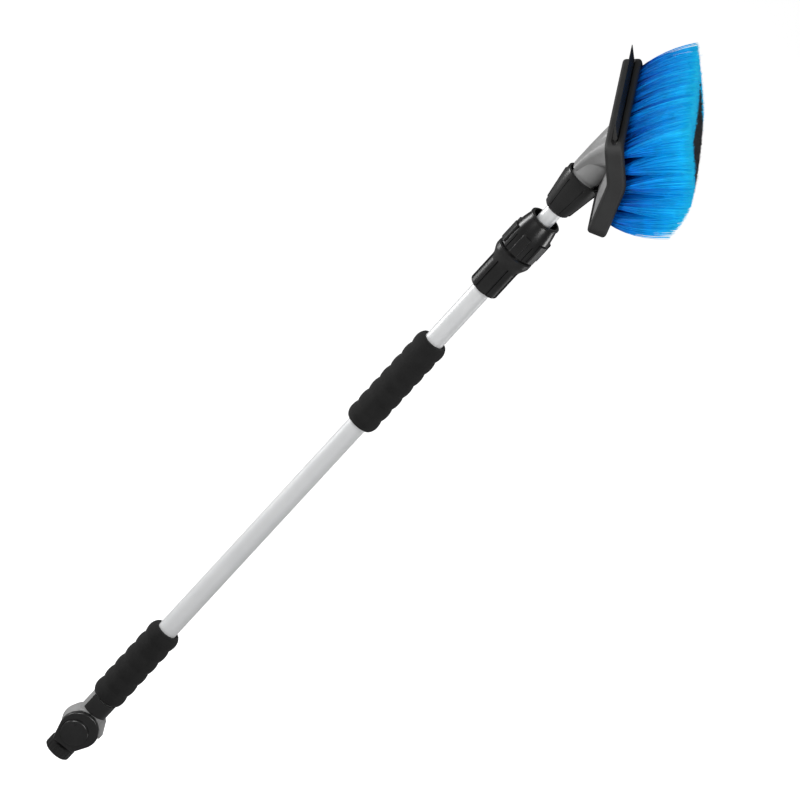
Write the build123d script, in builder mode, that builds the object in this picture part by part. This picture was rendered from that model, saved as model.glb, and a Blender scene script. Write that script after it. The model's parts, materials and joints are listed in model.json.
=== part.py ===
from math import cos, pi, radians, sin, tan
import os

from build123d import *

# Telescopic flow-through brush pole.  Millimetres.  The pole stands along +Z, the hose end is at
# Z = 0 with its centre on the origin, and the brush head leans over towards +X at the top.

# ---- driving dimensions ------------------------------------------------------------------------
TUBE_R = 12.7                 # outer tube, one inch
TUBE_WALL = 1.2
INNER_R = 11.0
INNER_WALL = 1.0
SLIDE_GAP = 0.1               # running clearance inside the plain bearings
FIT_GAP = 0.05                # clearance of parts that are bonded or pushed together
WATER_R = 6.0                 # water way through the valve and the fittings

HOSE_NUT_R = 17.6             # swivel nut for a 3/4 inch garden hose
HOSE_NUT_LENGTH = 16.5
HOSE_BORE_R = 13.1
VALVE_Z = 47.0                # axis of the valve dial
VALVE_HOUSING_R = 24.0
DIAL_R = 25.0
SOCKET_R = 16.6               # grey socket that takes the lower end of the outer tube
SOCKET_TOP = 97.0
TUBE_BOTTOM = 76.0

GRIP_R = 20.6
LOWER_GRIP = (97.5, 221.0)
UPPER_GRIP = (599.0, 747.0)

LOCK_BOTTOM = 843.0           # twist lock: fixed sleeve below, turning collar above
LOCK_SLEEVE_R = 18.9
LOCK_FLANGE_R = 25.5
LOCK_SPLIT = 907.5
LOCK_TOP = 965.0
TUBE_TOP = 899.0

PISTON_BOTTOM = 102.0
INNER_BOTTOM = 128.0
INNER_TOP = 1034.0

NUT_BOTTOM = 984.0            # cone nut that clamps the head
NUT_TOP = 1041.5
NUT_BOTTOM_R = 17.2
NUT_TOP_R = 25.0
NECK_R = 18.5

HEAD_X = 0.2                  # ridge line of the head's back, on the pole axis
HEAD_Z = 1105.1
HEAD_TILT = 59.5              # angle between the pole and the way the bristles point
BEND = 12.5                   # each half of the head is bent back by this angle
BEND_R = 20.0                 # rounding of the bend, measured at the back of the head
UPPER_HALF = 55.0             # ridge line to upper edge, measured along the bent half
LOWER_HALF = 71.5
HEAD_HALF_LENGTH = 138.0
HEAD_DEPTH = 21.5
BUMPER_BACK = -2.5            # the bumper stands this far behind the back of the shell
BUMPER_WALL = 5.0
CORNER_R = 14.0

BRISTLE_REACH = 106.0         # from the ridge line of the back to the bristle tips
BRISTLE_FLARE = 9.0           # how far the tips spread past the roots at each end

os.makedirs("parts", exist_ok=True)


def save(piece, label):
    """Label a finished piece and write it to its own STEP file."""
    piece.part.label = label
    export_step(piece.part, f"parts/{label}.step")


def turned(points):
    """Solid of revolution about the pole axis from (radius, height) points."""
    with BuildPart() as body:
        with BuildSketch(Plane.XZ):
            with BuildLine():
                Polyline(*points, close=True)
            make_face()
        revolve(axis=Axis.Z)
    return body


def ring(outer, inner, bottom, top):
    """Plain tube or washer on the pole axis."""
    return turned([(inner, bottom), (outer, bottom), (outer, top), (inner, top)])


# ---- hose swivel nut ---------------------------------------------------------------------------
KNURLS = 20
KNURL_R = 1.5
THREAD_TOP = 8.2
THREAD_RELIEF_R = 13.6
NUT_LIP_BOTTOM = 13.8
TAIL_R = 9.8
TAIL_FLANGE = (11.4, 13.4)
SCREEN_Z = 8.7
SCREEN_T = 0.6

with BuildPart() as hose_nut:
    with BuildSketch(Plane.XZ):
        with BuildLine():
            Polyline(
                (HOSE_BORE_R + 1.0, 0),
                (HOSE_NUT_R - 1.5, 0),
                (HOSE_NUT_R, 1.5),
                (HOSE_NUT_R, HOSE_NUT_LENGTH - 2.5),
                (HOSE_NUT_R - 2.5, HOSE_NUT_LENGTH),
                (TAIL_R + 0.4, HOSE_NUT_LENGTH),
                (TAIL_R + 0.4, NUT_LIP_BOTTOM),
                (THREAD_RELIEF_R, NUT_LIP_BOTTOM),
                (THREAD_RELIEF_R, THREAD_TOP),
                (HOSE_BORE_R, THREAD_TOP),
                (HOSE_BORE_R, 1.0),
                close=True,
            )
        make_face()
    revolve(axis=Axis.Z)
    with BuildSketch():
        with PolarLocations(HOSE_NUT_R + 0.6, KNURLS):
            Circle(KNURL_R)
    extrude(amount=HOSE_NUT_LENGTH, mode=Mode.SUBTRACT)
save(hose_nut, "hose_nut")

TAIL_TOP = 30.0
swivel_tail = turned([
    (WATER_R, TAIL_FLANGE[0]),
    (HOSE_BORE_R - 0.6, TAIL_FLANGE[0]),
    (HOSE_BORE_R - 0.6, TAIL_FLANGE[1]),
    (TAIL_R, TAIL_FLANGE[1]),
    (TAIL_R, TAIL_TOP),
    (WATER_R, TAIL_TOP),
])
save(swivel_tail, "swivel_tail")

hose_washer = ring(HOSE_BORE_R - 0.2, WATER_R + 0.5, SCREEN_Z + SCREEN_T, TAIL_FLANGE[0])
save(hose_washer, "hose_washer")

SCREEN_HOLE_R = 0.7
SCREEN_PITCH = 2.2
with BuildPart() as inlet_screen:
    with BuildSketch(Plane.XY.offset(SCREEN_Z)):
        Circle(HOSE_BORE_R - 0.2)
        with HexLocations(SCREEN_PITCH / 2, 7, 7):
            Circle(SCREEN_HOLE_R, mode=Mode.SUBTRACT)
    extrude(amount=SCREEN_T)
save(inlet_screen, "inlet_screen")

# ---- on/off valve ------------------------------------------------------------------------------
# The dial axis runs along -Y through the pole axis.  DIAL_SIDE is a plane whose normal points out
# through the dial, so that a positive offset moves towards the dial's face.
DIAL_SIDE = Plane(origin=(0, 0, VALVE_Z), x_dir=(1, 0, 0), z_dir=(0, -1, 0))
BODY_BOTTOM = 17.5
SHOULDER_UP = 6.4              # the housing is drawn out towards the tube socket
SHOULDER_R = 21.3
HOUSING_FRONT = 13.0
HOUSING_BACK = -16.0
BALL_R = 11.5
CHAMBER_R = 12.0
CHAMBER_BACK = -12.0
SEAT_OUTER_R = 9.5
SEAT_REACH = 14.5             # valve centre to the outer face of each seat
BONNET_R = 18.8
SCREW_CIRCLE_R = 15.6
BONNET_SCREW_R = 1.2
SCREW_GRIP = 7.0              # how far the bonnet screws reach into the housing
PIN_R = 2.0
PIN_Z = 86.0
PAD_X = 28.5
PAD_Z = (45.5, 74.0)
PAD_HALF_Y = 6.0

with BuildPart() as valve_body:
    with BuildSketch(DIAL_SIDE.offset(HOUSING_BACK)):
        with BuildLine():
            CenterArc((0, 0), VALVE_HOUSING_R, 0, 360)
            CenterArc((0, SHOULDER_UP), SHOULDER_R, 0, 360)
        make_hull()
    extrude(amount=HOUSING_FRONT - HOUSING_BACK)
    fillet(valve_body.faces().sort_by(Axis.Y)[-1].edges(), 5.0)
    with BuildSketch(Plane.XY.offset(BODY_BOTTOM)):
        Circle(14.5)
    with BuildSketch(Plane.XY.offset(VALVE_Z)):
        Circle(SOCKET_R)
    loft()
    with BuildSketch(Plane.XY.offset(VALVE_Z)):
        Circle(SOCKET_R)
    extrude(amount=SOCKET_TOP - VALVE_Z)
    with BuildSketch(Plane.XZ.offset(-PAD_HALF_Y)):
        with BuildLine():
            Polyline(
                (0, PAD_Z[0]),
                (PAD_X - 6, PAD_Z[0]),
                (PAD_X, PAD_Z[0] + 5),
                (PAD_X, PAD_Z[0] + 12),
                (PAD_X - 6, PAD_Z[1] - 4),
                (PAD_X - 10, PAD_Z[1]),
                (0, PAD_Z[1]),
                close=True,
            )
        make_face()
    extrude(amount=2 * PAD_HALF_Y)
    with BuildSketch(DIAL_SIDE.offset(HOUSING_FRONT)):
        Circle(BONNET_R + 0.3)
    extrude(amount=SOCKET_R, mode=Mode.SUBTRACT)
    with BuildSketch(DIAL_SIDE.offset(CHAMBER_BACK)):
        Circle(CHAMBER_R)
    extrude(amount=HOUSING_FRONT - CHAMBER_BACK, mode=Mode.SUBTRACT)
    with BuildSketch(Plane.XY.offset(VALVE_Z - SEAT_REACH)):
        Circle(SEAT_OUTER_R + FIT_GAP)
    extrude(amount=2 * SEAT_REACH, mode=Mode.SUBTRACT)
    with BuildSketch(Plane.XY.offset(BODY_BOTTOM)):
        Circle(TAIL_R + FIT_GAP)
    extrude(amount=TAIL_TOP - BODY_BOTTOM, mode=Mode.SUBTRACT)
    with BuildSketch(Plane.XY.offset(BODY_BOTTOM)):
        Circle(WATER_R)
    extrude(amount=SOCKET_TOP - BODY_BOTTOM, mode=Mode.SUBTRACT)
    with BuildSketch(Plane.XY.offset(TUBE_BOTTOM)):
        Circle(TUBE_R + FIT_GAP)
    extrude(amount=SOCKET_TOP - TUBE_BOTTOM, mode=Mode.SUBTRACT)
    with BuildSketch(DIAL_SIDE.offset(HOUSING_FRONT - SCREW_GRIP)):
        with PolarLocations(SCREW_CIRCLE_R, 4, start_angle=45):
            Circle(BONNET_SCREW_R + FIT_GAP)
    extrude(amount=SCREW_GRIP, mode=Mode.SUBTRACT)
    with BuildSketch(Plane.XZ.offset(-SOCKET_R - 3)):
        with Locations((0, PIN_Z)):
            Circle(PIN_R + FIT_GAP)
    extrude(amount=2 * (SOCKET_R + 3), mode=Mode.SUBTRACT)
save(valve_body, "valve_body")

BALL_FLAT = 10.0              # the ball is faced off where the water way goes through
SLOT_W = 3.2
SLOT_DEPTH = 2.5
with BuildPart() as valve_ball:
    with Locations((0, 0, VALVE_Z)):
        Sphere(BALL_R)
        Box(2 * BALL_R, 2 * BALL_R, 2 * BALL_FLAT, mode=Mode.INTERSECT)
    with BuildSketch(Plane.XY.offset(VALVE_Z - BALL_R)):
        Circle(WATER_R)
    extrude(amount=2 * BALL_R, mode=Mode.SUBTRACT)
    with BuildSketch(DIAL_SIDE.offset(BALL_R - SLOT_DEPTH)):
        Rectangle(SLOT_W, 2 * BALL_R)
    extrude(amount=SLOT_DEPTH, mode=Mode.SUBTRACT)
save(valve_ball, "valve_ball")

SEAT_INNER = BALL_FLAT + FIT_GAP
with BuildPart() as valve_seats:
    for side in (-1, 1):
        low, high = sorted((side * SEAT_INNER, side * SEAT_REACH))
        with BuildSketch(Plane.XY.offset(VALVE_Z + low)):
            Circle(SEAT_OUTER_R)
            Circle(WATER_R, mode=Mode.SUBTRACT)
        extrude(amount=high - low)
save(valve_seats, "valve_seats")

BONNET_T = 4.0
BONNET_FACE = HOUSING_FRONT + BONNET_T
STEM_R = 4.0
O_RING_WIRE = 1.4
with BuildPart() as valve_bonnet:
    with BuildSketch(DIAL_SIDE.offset(HOUSING_FRONT)):
        Circle(BONNET_R)
    extrude(amount=BONNET_T)
    with BuildSketch(DIAL_SIDE.offset(BALL_R + 0.3)):
        Circle(CHAMBER_R - FIT_GAP)
    extrude(amount=HOUSING_FRONT - BALL_R - 0.3)
    with BuildSketch(DIAL_SIDE.offset(BALL_R)):
        Circle(STEM_R + SLIDE_GAP)
    extrude(amount=BONNET_FACE - BALL_R, mode=Mode.SUBTRACT)
    with BuildSketch(DIAL_SIDE.offset(HOUSING_FRONT - 0.2)):
        Circle(STEM_R + O_RING_WIRE)
    extrude(amount=O_RING_WIRE + 0.2, mode=Mode.SUBTRACT)
    with BuildSketch(DIAL_SIDE.offset(HOUSING_FRONT)):
        with PolarLocations(SCREW_CIRCLE_R, 4, start_angle=45):
            Circle(BONNET_SCREW_R + FIT_GAP)
    extrude(amount=BONNET_T, mode=Mode.SUBTRACT)
save(valve_bonnet, "valve_bonnet")

with BuildPart() as bonnet_screws:
    with BuildSketch(DIAL_SIDE.offset(HOUSING_FRONT - SCREW_GRIP)):
        with PolarLocations(SCREW_CIRCLE_R, 4, start_angle=45):
            Circle(BONNET_SCREW_R)
    extrude(amount=SCREW_GRIP + BONNET_T - 0.2)
save(bonnet_screws, "bonnet_screws")

with BuildPart() as stem_o_ring:
    with BuildSketch(DIAL_SIDE.offset(HOUSING_FRONT)):
        Circle(STEM_R + O_RING_WIRE - FIT_GAP)
        Circle(STEM_R + FIT_GAP, mode=Mode.SUBTRACT)
    extrude(amount=O_RING_WIRE - 0.2)
save(stem_o_ring, "stem_o_ring")

DIAL_BACK = 17.6
DIAL_RIM = 24.0
DIAL_FACE = 27.5
DIAL_SHIFT = 2.4              # the round end of the dial sits this far up the pole from its axis
DIAL_ASIDE = -1.0             # and this far to one side
DIAL_CUT = -27.0              # straight edge next to the hose nut
DIAL_CUT_SPAN = (-19.0, 11.0)
DOME_PLACE = (-4.0, -2.5)
DOME_R = 17.6
DIAL_WALL = 2.5
HUB_R = 7.5
STEM_TOP = 22.5
CROSS_PIN_R = 0.9
CROSS_PIN_PLACE = 20.0
DOT_PLACE = (-11.0, 8.4)


def dial_outline(inset):
    """Round dial drawn out to a straight edge at the hose end."""
    with BuildSketch(Plane.XY) as outline:
        with BuildLine():
            CenterArc((DIAL_ASIDE, DIAL_SHIFT), DIAL_R - inset, 0, 360)
            Line(
                (DIAL_CUT_SPAN[0] + inset, DIAL_CUT + inset),
                (DIAL_CUT_SPAN[1] - inset, DIAL_CUT + inset),
            )
        make_hull()
    return outline.sketch


with BuildPart() as valve_dial:
    with BuildSketch(DIAL_SIDE.offset(DIAL_BACK)):
        add(dial_outline(0))
    extrude(amount=DIAL_RIM - DIAL_BACK)
    fillet(valve_dial.faces().sort_by(Axis.Y)[0].edges(), 2.0)
    with BuildSketch(DIAL_SIDE.offset(DIAL_BACK)):
        add(dial_outline(DIAL_WALL))
        Circle(HUB_R, mode=Mode.SUBTRACT)
    extrude(amount=DIAL_RIM - DIAL_BACK - DIAL_WALL, mode=Mode.SUBTRACT)
    with BuildSketch(DIAL_SIDE.offset(DIAL_RIM - 0.5)):
        with Locations(DOME_PLACE):
            Circle(DOME_R)
    extrude(amount=DIAL_FACE - DIAL_RIM + 0.5)
    fillet(valve_dial.faces().sort_by(Axis.Y)[0].edges(), 2.4)
    with BuildSketch(DIAL_SIDE.offset(DIAL_BACK)):
        Circle(STEM_R + FIT_GAP)
    extrude(amount=STEM_TOP - DIAL_BACK + 0.2, mode=Mode.SUBTRACT)
    with BuildSketch(Plane.YZ.offset(-HUB_R)):
        with Locations((-CROSS_PIN_PLACE, VALVE_Z)):
            Circle(CROSS_PIN_R + FIT_GAP)
    extrude(amount=2 * HUB_R, mode=Mode.SUBTRACT)
    with BuildSketch(DIAL_SIDE.offset(DIAL_FACE - 0.8)):
        with Locations(DOT_PLACE):
            Circle(1.8)
    extrude(amount=0.8, mode=Mode.SUBTRACT)
save(valve_dial, "valve_dial")

with BuildPart() as valve_stem:
    with BuildSketch(DIAL_SIDE.offset(BALL_R + 0.1)):
        Circle(STEM_R)
    extrude(amount=STEM_TOP - BALL_R - 0.1)
    with BuildSketch(DIAL_SIDE.offset(BALL_R - SLOT_DEPTH + FIT_GAP)):
        Rectangle(SLOT_W - 2 * FIT_GAP, 2 * STEM_R - 1.0)
    extrude(amount=SLOT_DEPTH + 0.1)
    with BuildSketch(Plane.YZ.offset(-STEM_R)):
        with Locations((-CROSS_PIN_PLACE, VALVE_Z)):
            Circle(CROSS_PIN_R + FIT_GAP)
    extrude(amount=2 * STEM_R, mode=Mode.SUBTRACT)
save(valve_stem, "valve_stem")

with BuildPart() as dial_pin:
    with BuildSketch(Plane.YZ.offset(-HUB_R)):
        with Locations((-CROSS_PIN_PLACE, VALVE_Z)):
            Circle(CROSS_PIN_R)
    extrude(amount=2 * HUB_R)
save(dial_pin, "dial_pin")

# ---- tube socket -------------------------------------------------------------------------------
BAND_T = 1.2
BAND = (75.0, 97.0)
BAND_OPENING = 70.0           # degrees of grey socket left bare on the -X side
with BuildPart() as socket_band:
    with BuildSketch(Plane.XY.offset(BAND[0])):
        Circle(SOCKET_R + BAND_T)
        Circle(SOCKET_R + FIT_GAP, mode=Mode.SUBTRACT)
        with BuildLine():
            reach = 2 * SOCKET_R
            half = radians(BAND_OPENING / 2)
            Polyline(
                (0, 0),
                (-reach * cos(half), reach * sin(half)),
                (-reach * cos(half), -reach * sin(half)),
                close=True,
            )
        make_face(mode=Mode.SUBTRACT)
    extrude(amount=BAND[1] - BAND[0])
save(socket_band, "socket_band")

PIN_INNER = 11.0
with BuildPart() as socket_pins:
    for side in (-1, 1):
        with BuildSketch(Plane.XZ.offset(side * PIN_INNER)):
            with Locations((0, PIN_Z)):
                Circle(PIN_R)
        extrude(amount=side * (SOCKET_R - PIN_INNER - FIT_GAP))
save(socket_pins, "socket_pins")

# ---- outer pole --------------------------------------------------------------------------------
TUBE_BORE = TUBE_R - TUBE_WALL
with BuildPart() as outer_tube:
    with BuildSketch(Plane.XY.offset(TUBE_BOTTOM)):
        Circle(TUBE_R)
        Circle(TUBE_BORE, mode=Mode.SUBTRACT)
    extrude(amount=TUBE_TOP - TUBE_BOTTOM)
    with BuildSketch(Plane.XZ.offset(-2 * TUBE_R)):
        with Locations((0, PIN_Z)):
            Circle(PIN_R + FIT_GAP)
    extrude(amount=4 * TUBE_R, mode=Mode.SUBTRACT)
save(outer_tube, "outer_tube")

GRIP_ROUND = 5.0
for label, (low, high) in (("lower_foam_grip", LOWER_GRIP), ("upper_foam_grip", UPPER_GRIP)):
    with BuildPart() as grip:
        with BuildSketch(Plane.XY.offset(low)):
            Circle(GRIP_R)
            Circle(TUBE_R + FIT_GAP, mode=Mode.SUBTRACT)
        extrude(amount=high - low)
        outer_rims = grip.edges().filter_by(GeomType.CIRCLE).sort_by(SortBy.RADIUS)[-2:]
        fillet(outer_rims, GRIP_ROUND)
    save(grip, label)

# ---- twist lock --------------------------------------------------------------------------------
SPIGOT_R = 20.0
SPIGOT_TOP = 925.0
COLLET_R = 15.0
SEAT_Z = 906.5
FLARE = (884.0, 900.0)
PAD_HEIGHT = 1.3
GROOVES = 8
GROOVE_W = 3.0
GROOVE_START = 10.0

with BuildPart() as lock_sleeve:
    with BuildSketch(Plane.XZ):
        with BuildLine():
            Polyline(
                (TUBE_R + FIT_GAP, LOCK_BOTTOM),
                (LOCK_SLEEVE_R + PAD_HEIGHT - 0.8, LOCK_BOTTOM),
                (LOCK_SLEEVE_R + PAD_HEIGHT, LOCK_BOTTOM + 1.5),
                (LOCK_SLEEVE_R + PAD_HEIGHT, FLARE[0]),
            )
            Spline(
                (LOCK_SLEEVE_R + PAD_HEIGHT, FLARE[0]),
                (LOCK_FLANGE_R, FLARE[1]),
                tangents=((0, 1), (0.2, 1)),
            )
            Polyline(
                (LOCK_FLANGE_R, FLARE[1]),
                (LOCK_FLANGE_R, LOCK_SPLIT - 1.5),
                (LOCK_FLANGE_R - 1.5, LOCK_SPLIT),
                (SPIGOT_R, LOCK_SPLIT),
                (SPIGOT_R, SPIGOT_TOP),
                (COLLET_R + FIT_GAP, SPIGOT_TOP),
                (COLLET_R + FIT_GAP, SEAT_Z + 1.0),
                (INNER_R + 0.5, SEAT_Z + 1.0),
                (INNER_R + 0.5, SEAT_Z),
                (TUBE_R + FIT_GAP, SEAT_Z),
                (TUBE_R + FIT_GAP, LOCK_BOTTOM),
            )
        make_face()
    revolve(axis=Axis.Z)
    with BuildSketch(Plane.XY.offset(LOCK_BOTTOM)):
        with PolarLocations(LOCK_SLEEVE_R + PAD_HEIGHT, GROOVES, start_angle=GROOVE_START):
            Rectangle(3 * PAD_HEIGHT, GROOVE_W)
    extrude(amount=FLARE[0] + 5 - LOCK_BOTTOM, mode=Mode.SUBTRACT)
save(lock_sleeve, "lock_sleeve")

guide_bush = ring(TUBE_R, INNER_R + SLIDE_GAP, TUBE_TOP, SEAT_Z)
save(guide_bush, "guide_bush")

COLLET_TOP = 937.0
SLITS = 4
with BuildPart() as lock_collet:
    with BuildSketch(Plane.XZ):
        with BuildLine():
            Polyline(
                (INNER_R + SLIDE_GAP, SEAT_Z + 1.0),
                (COLLET_R, SEAT_Z + 1.0),
                (COLLET_R, SPIGOT_TOP + 1.0),
                (COLLET_R - 2.2, COLLET_TOP),
                (INNER_R + SLIDE_GAP, COLLET_TOP),
                close=True,
            )
        make_face()
    revolve(axis=Axis.Z)
    with BuildSketch(Plane.XY.offset(SEAT_Z + 8)):
        with PolarLocations(COLLET_R - 2, SLITS):
            Rectangle(8, 1.2)
    extrude(amount=COLLET_TOP - SEAT_Z, mode=Mode.SUBTRACT)
save(lock_collet, "lock_collet")

COLLAR_BOTTOM = LOCK_SPLIT + 2.0
COLLAR_TAPER = 936.0
MOUTH_R = 20.3
MOUTH_LIP = 4.0
MOUTH_BORE_R = 17.8
CONE_GAP = 0.3
COLLAR_PADS = 6
COLLAR_PAD_W = 12.0
with BuildPart() as lock_collar:
    with BuildSketch(Plane.XZ):
        with BuildLine():
            Polyline(
                (SPIGOT_R + 0.5, COLLAR_BOTTOM),
                (LOCK_FLANGE_R - 1.5, COLLAR_BOTTOM),
                (LOCK_FLANGE_R - 0.2, COLLAR_BOTTOM + 1.5),
                (LOCK_FLANGE_R - 0.2, COLLAR_TAPER - 10),
            )
            Spline(
                (LOCK_FLANGE_R - 0.2, COLLAR_TAPER - 10),
                (MOUTH_R, LOCK_TOP - MOUTH_LIP),
                tangents=((0, 1), (-0.25, 1)),
            )
            Polyline(
                (MOUTH_R, LOCK_TOP - MOUTH_LIP),
                (MOUTH_R + 0.9, LOCK_TOP - MOUTH_LIP + 0.9),
                (MOUTH_R + 0.9, LOCK_TOP - 1.0),
                (MOUTH_R - 0.1, LOCK_TOP),
                (MOUTH_BORE_R, LOCK_TOP),
                (MOUTH_BORE_R - 0.5, COLLET_TOP + 8),
                (COLLET_R - 2.2 + CONE_GAP, COLLET_TOP),
                (COLLET_R + CONE_GAP, SPIGOT_TOP + 1.0),
                (SPIGOT_R + 0.5, SPIGOT_TOP + 1.0),
                (SPIGOT_R + 0.5, COLLAR_BOTTOM),
            )
        make_face()
    revolve(axis=Axis.Z)
    with BuildSketch(Plane.XY.offset(COLLAR_BOTTOM + 3)):
        with PolarLocations(LOCK_FLANGE_R - 0.2, COLLAR_PADS, start_angle=15):
            RectangleRounded(2 * PAD_HEIGHT + 1, COLLAR_PAD_W, 1.2)
    extrude(amount=28)
    with BuildSketch(Plane.XY.offset(COLLAR_BOTTOM)):
        with PolarLocations(LOCK_FLANGE_R, COLLAR_PADS, start_angle=45):
            Rectangle(2 * PAD_HEIGHT, 1.4)
    extrude(amount=24, mode=Mode.SUBTRACT)
save(lock_collar, "lock_collar")

# ---- inner pole --------------------------------------------------------------------------------
INNER_BORE = INNER_R - INNER_WALL
inner_tube = ring(INNER_R, INNER_BORE, INNER_BOTTOM, INNER_TOP)
save(inner_tube, "inner_tube")

PISTON_R = TUBE_BORE - 0.15
PISTON_SPIGOT_TOP = INNER_BOTTOM + 20.0
GROOVE_R = PISTON_R - 1.6
O_RING_SPOTS = (108.0, 119.0)
O_RING_W = 2.2
piston_line = [(WATER_R, PISTON_BOTTOM), (PISTON_R, PISTON_BOTTOM)]
for low in O_RING_SPOTS:
    piston_line += [
        (PISTON_R, low),
        (GROOVE_R, low),
        (GROOVE_R, low + O_RING_W),
        (PISTON_R, low + O_RING_W),
    ]
piston_line += [
    (PISTON_R, INNER_BOTTOM),
    (INNER_BORE - FIT_GAP, INNER_BOTTOM),
    (INNER_BORE - FIT_GAP, PISTON_SPIGOT_TOP),
    (WATER_R, PISTON_SPIGOT_TOP),
]
slide_piston = turned(piston_line)
save(slide_piston, "slide_piston")

with BuildPart() as piston_o_rings:
    for low in O_RING_SPOTS:
        with BuildSketch(Plane.XY.offset(low + FIT_GAP)):
            Circle(TUBE_BORE - FIT_GAP)
            Circle(GROOVE_R + FIT_GAP, mode=Mode.SUBTRACT)
        extrude(amount=O_RING_W - 2 * FIT_GAP)
save(piston_o_rings, "piston_o_rings")

# The pole's top fitting has a flange that the cone nut pulls against the head's neck.
FITTING_R = 14.0
FITTING = (990.0, 1046.0)
FLANGE = (1008.0, 1013.0)
FLANGE_R = 17.0
TOP_GROOVE = (1037.0, 1039.4)
TOP_GROOVE_R = 12.4
WATER_WAY_R = 8.0
pole_end_fitting = turned([
    (INNER_R + FIT_GAP, FITTING[0]),
    (FITTING_R, FITTING[0]),
    (FITTING_R, FLANGE[0]),
    (FLANGE_R, FLANGE[0]),
    (FLANGE_R, FLANGE[1]),
    (FITTING_R, FLANGE[1]),
    (FITTING_R, TOP_GROOVE[0]),
    (TOP_GROOVE_R, TOP_GROOVE[0]),
    (TOP_GROOVE_R, TOP_GROOVE[1]),
    (FITTING_R, TOP_GROOVE[1]),
    (FITTING_R, FITTING[1]),
    (WATER_WAY_R, FITTING[1]),
    (WATER_WAY_R, INNER_TOP + FIT_GAP),
    (INNER_R + FIT_GAP, INNER_TOP + FIT_GAP),
])
save(pole_end_fitting, "pole_end_fitting")

NECK_BORE_R = FITTING_R + 0.2
fitting_o_ring = ring(
    NECK_BORE_R - FIT_GAP,
    TOP_GROOVE_R + FIT_GAP,
    TOP_GROOVE[0] + FIT_GAP,
    TOP_GROOVE[1] - FIT_GAP,
)
save(fitting_o_ring, "fitting_o_ring")

NECK_START = FLANGE[1] + 3.0
NECK_END_R = 17.2
NUT_LIP_TOP = FLANGE[0] - 0.5
NUT_BORE_R = NECK_END_R + 0.8
MOUTH_FLARE_Z = 1031.5
NUT_RIBS = 6
RIB_START = 45.0
RIB_HALF_W = 1.2
with BuildPart() as head_nut:
    with BuildSketch(Plane.XZ):
        with BuildLine():
            Polyline(
                (FITTING_R + 0.3, NUT_BOTTOM),
                (NUT_BOTTOM_R - 2.0, NUT_BOTTOM),
                (NUT_BOTTOM_R, NUT_BOTTOM + 2.0),
                (NUT_BOTTOM_R + 0.7, NUT_BOTTOM + 6),
            )
            Spline(
                (NUT_BOTTOM_R + 0.7, NUT_BOTTOM + 6),
                (NUT_TOP_R, NUT_TOP - 2.5),
                tangents=((0.2, 1), (0.05, 1)),
            )
            Polyline(
                (NUT_TOP_R, NUT_TOP - 2.5),
                (NUT_TOP_R, NUT_TOP - 1.0),
                (NUT_TOP_R - 1.0, NUT_TOP),
                (NUT_TOP_R - 2.6, NUT_TOP),
                (NUT_BORE_R, MOUTH_FLARE_Z),
                (NUT_BORE_R, NUT_LIP_TOP),
                (FITTING_R + 0.3, NUT_LIP_TOP),
                (FITTING_R + 0.3, NUT_BOTTOM),
            )
        make_face()
    revolve(axis=Axis.Z)
    with BuildSketch(Plane.XZ) as rib_profile:
        with BuildLine():
            Polyline(
                (NUT_BOTTOM_R, NUT_BOTTOM + 4),
                (NUT_BOTTOM_R + 2.0, NUT_BOTTOM + 6),
                (NUT_TOP_R + 0.9, NUT_TOP - 9),
                (NUT_TOP_R - 1.4, NUT_TOP - 5.5),
                close=True,
            )
        make_face()
    rib = extrude(rib_profile.sketch, amount=RIB_HALF_W, both=True, mode=Mode.PRIVATE)
    with PolarLocations(0, NUT_RIBS, start_angle=RIB_START):
        add(rib)
save(head_nut, "head_nut")

# ---- brush head --------------------------------------------------------------------------------
# OUT is the way the bristles point and EDGE runs from the ridge line to the squeegee's edge.
# ACROSS looks along the head's length: its x is OUT and its y is EDGE.  BACK lies on the ridge
# line: its x is the head's length (+Y), its y is EDGE and its normal is OUT.
tilt = radians(HEAD_TILT)
bend = radians(BEND)
OUT = (sin(tilt), 0, cos(tilt))
ACROSS = Plane(origin=(HEAD_X, 0, HEAD_Z), x_dir=OUT, z_dir=(0, -1, 0))
BACK = Plane(origin=(HEAD_X, 0, HEAD_Z), x_dir=(0, 1, 0), z_dir=OUT)


def on_half(half, along, depth):
    """Point on the bent half (+1 upper, -1 lower), in the axes of ACROSS."""
    return (
        depth * cos(bend) - along * sin(bend),
        half * (along * cos(bend) + depth * sin(bend)),
    )


def half_plane(half):
    """Plane on the back of one half: x is the head's length, y its way outwards, normal out."""
    normal = (sin(tilt - half * bend), 0, cos(tilt - half * bend))
    return Plane(origin=(HEAD_X, 0, HEAD_Z), x_dir=(0, half, 0), z_dir=normal)


def bent_slab(low, high, margin, corner):
    """Slab bent along the ridge line, between two depths, with its outline set in by margin."""
    upper = UPPER_HALF - margin
    lower = LOWER_HALF - margin
    with BuildPart() as slab:
        with BuildSketch(ACROSS) as outline:
            with BuildLine():
                Polyline(
                    (low / cos(bend), 0),
                    on_half(1, upper, low),
                    on_half(1, upper, high),
                    (high / cos(bend), 0),
                    on_half(-1, lower, high),
                    on_half(-1, lower, low),
                    close=True,
                )
            make_face()
            for depth in (low, high):
                if BEND_R + depth > 1:
                    ridge = outline.vertices().sort_by_distance((depth / cos(bend), 0))[0]
                    fillet(ridge, BEND_R + depth)
        extrude(amount=HEAD_HALF_LENGTH - margin, both=True)
        ends = [e for e in slab.edges() if abs(e.length - (high - low)) < 0.01]
        fillet([e for e in ends if abs(e.center().Y) > 1], corner)
    return slab.part


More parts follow.
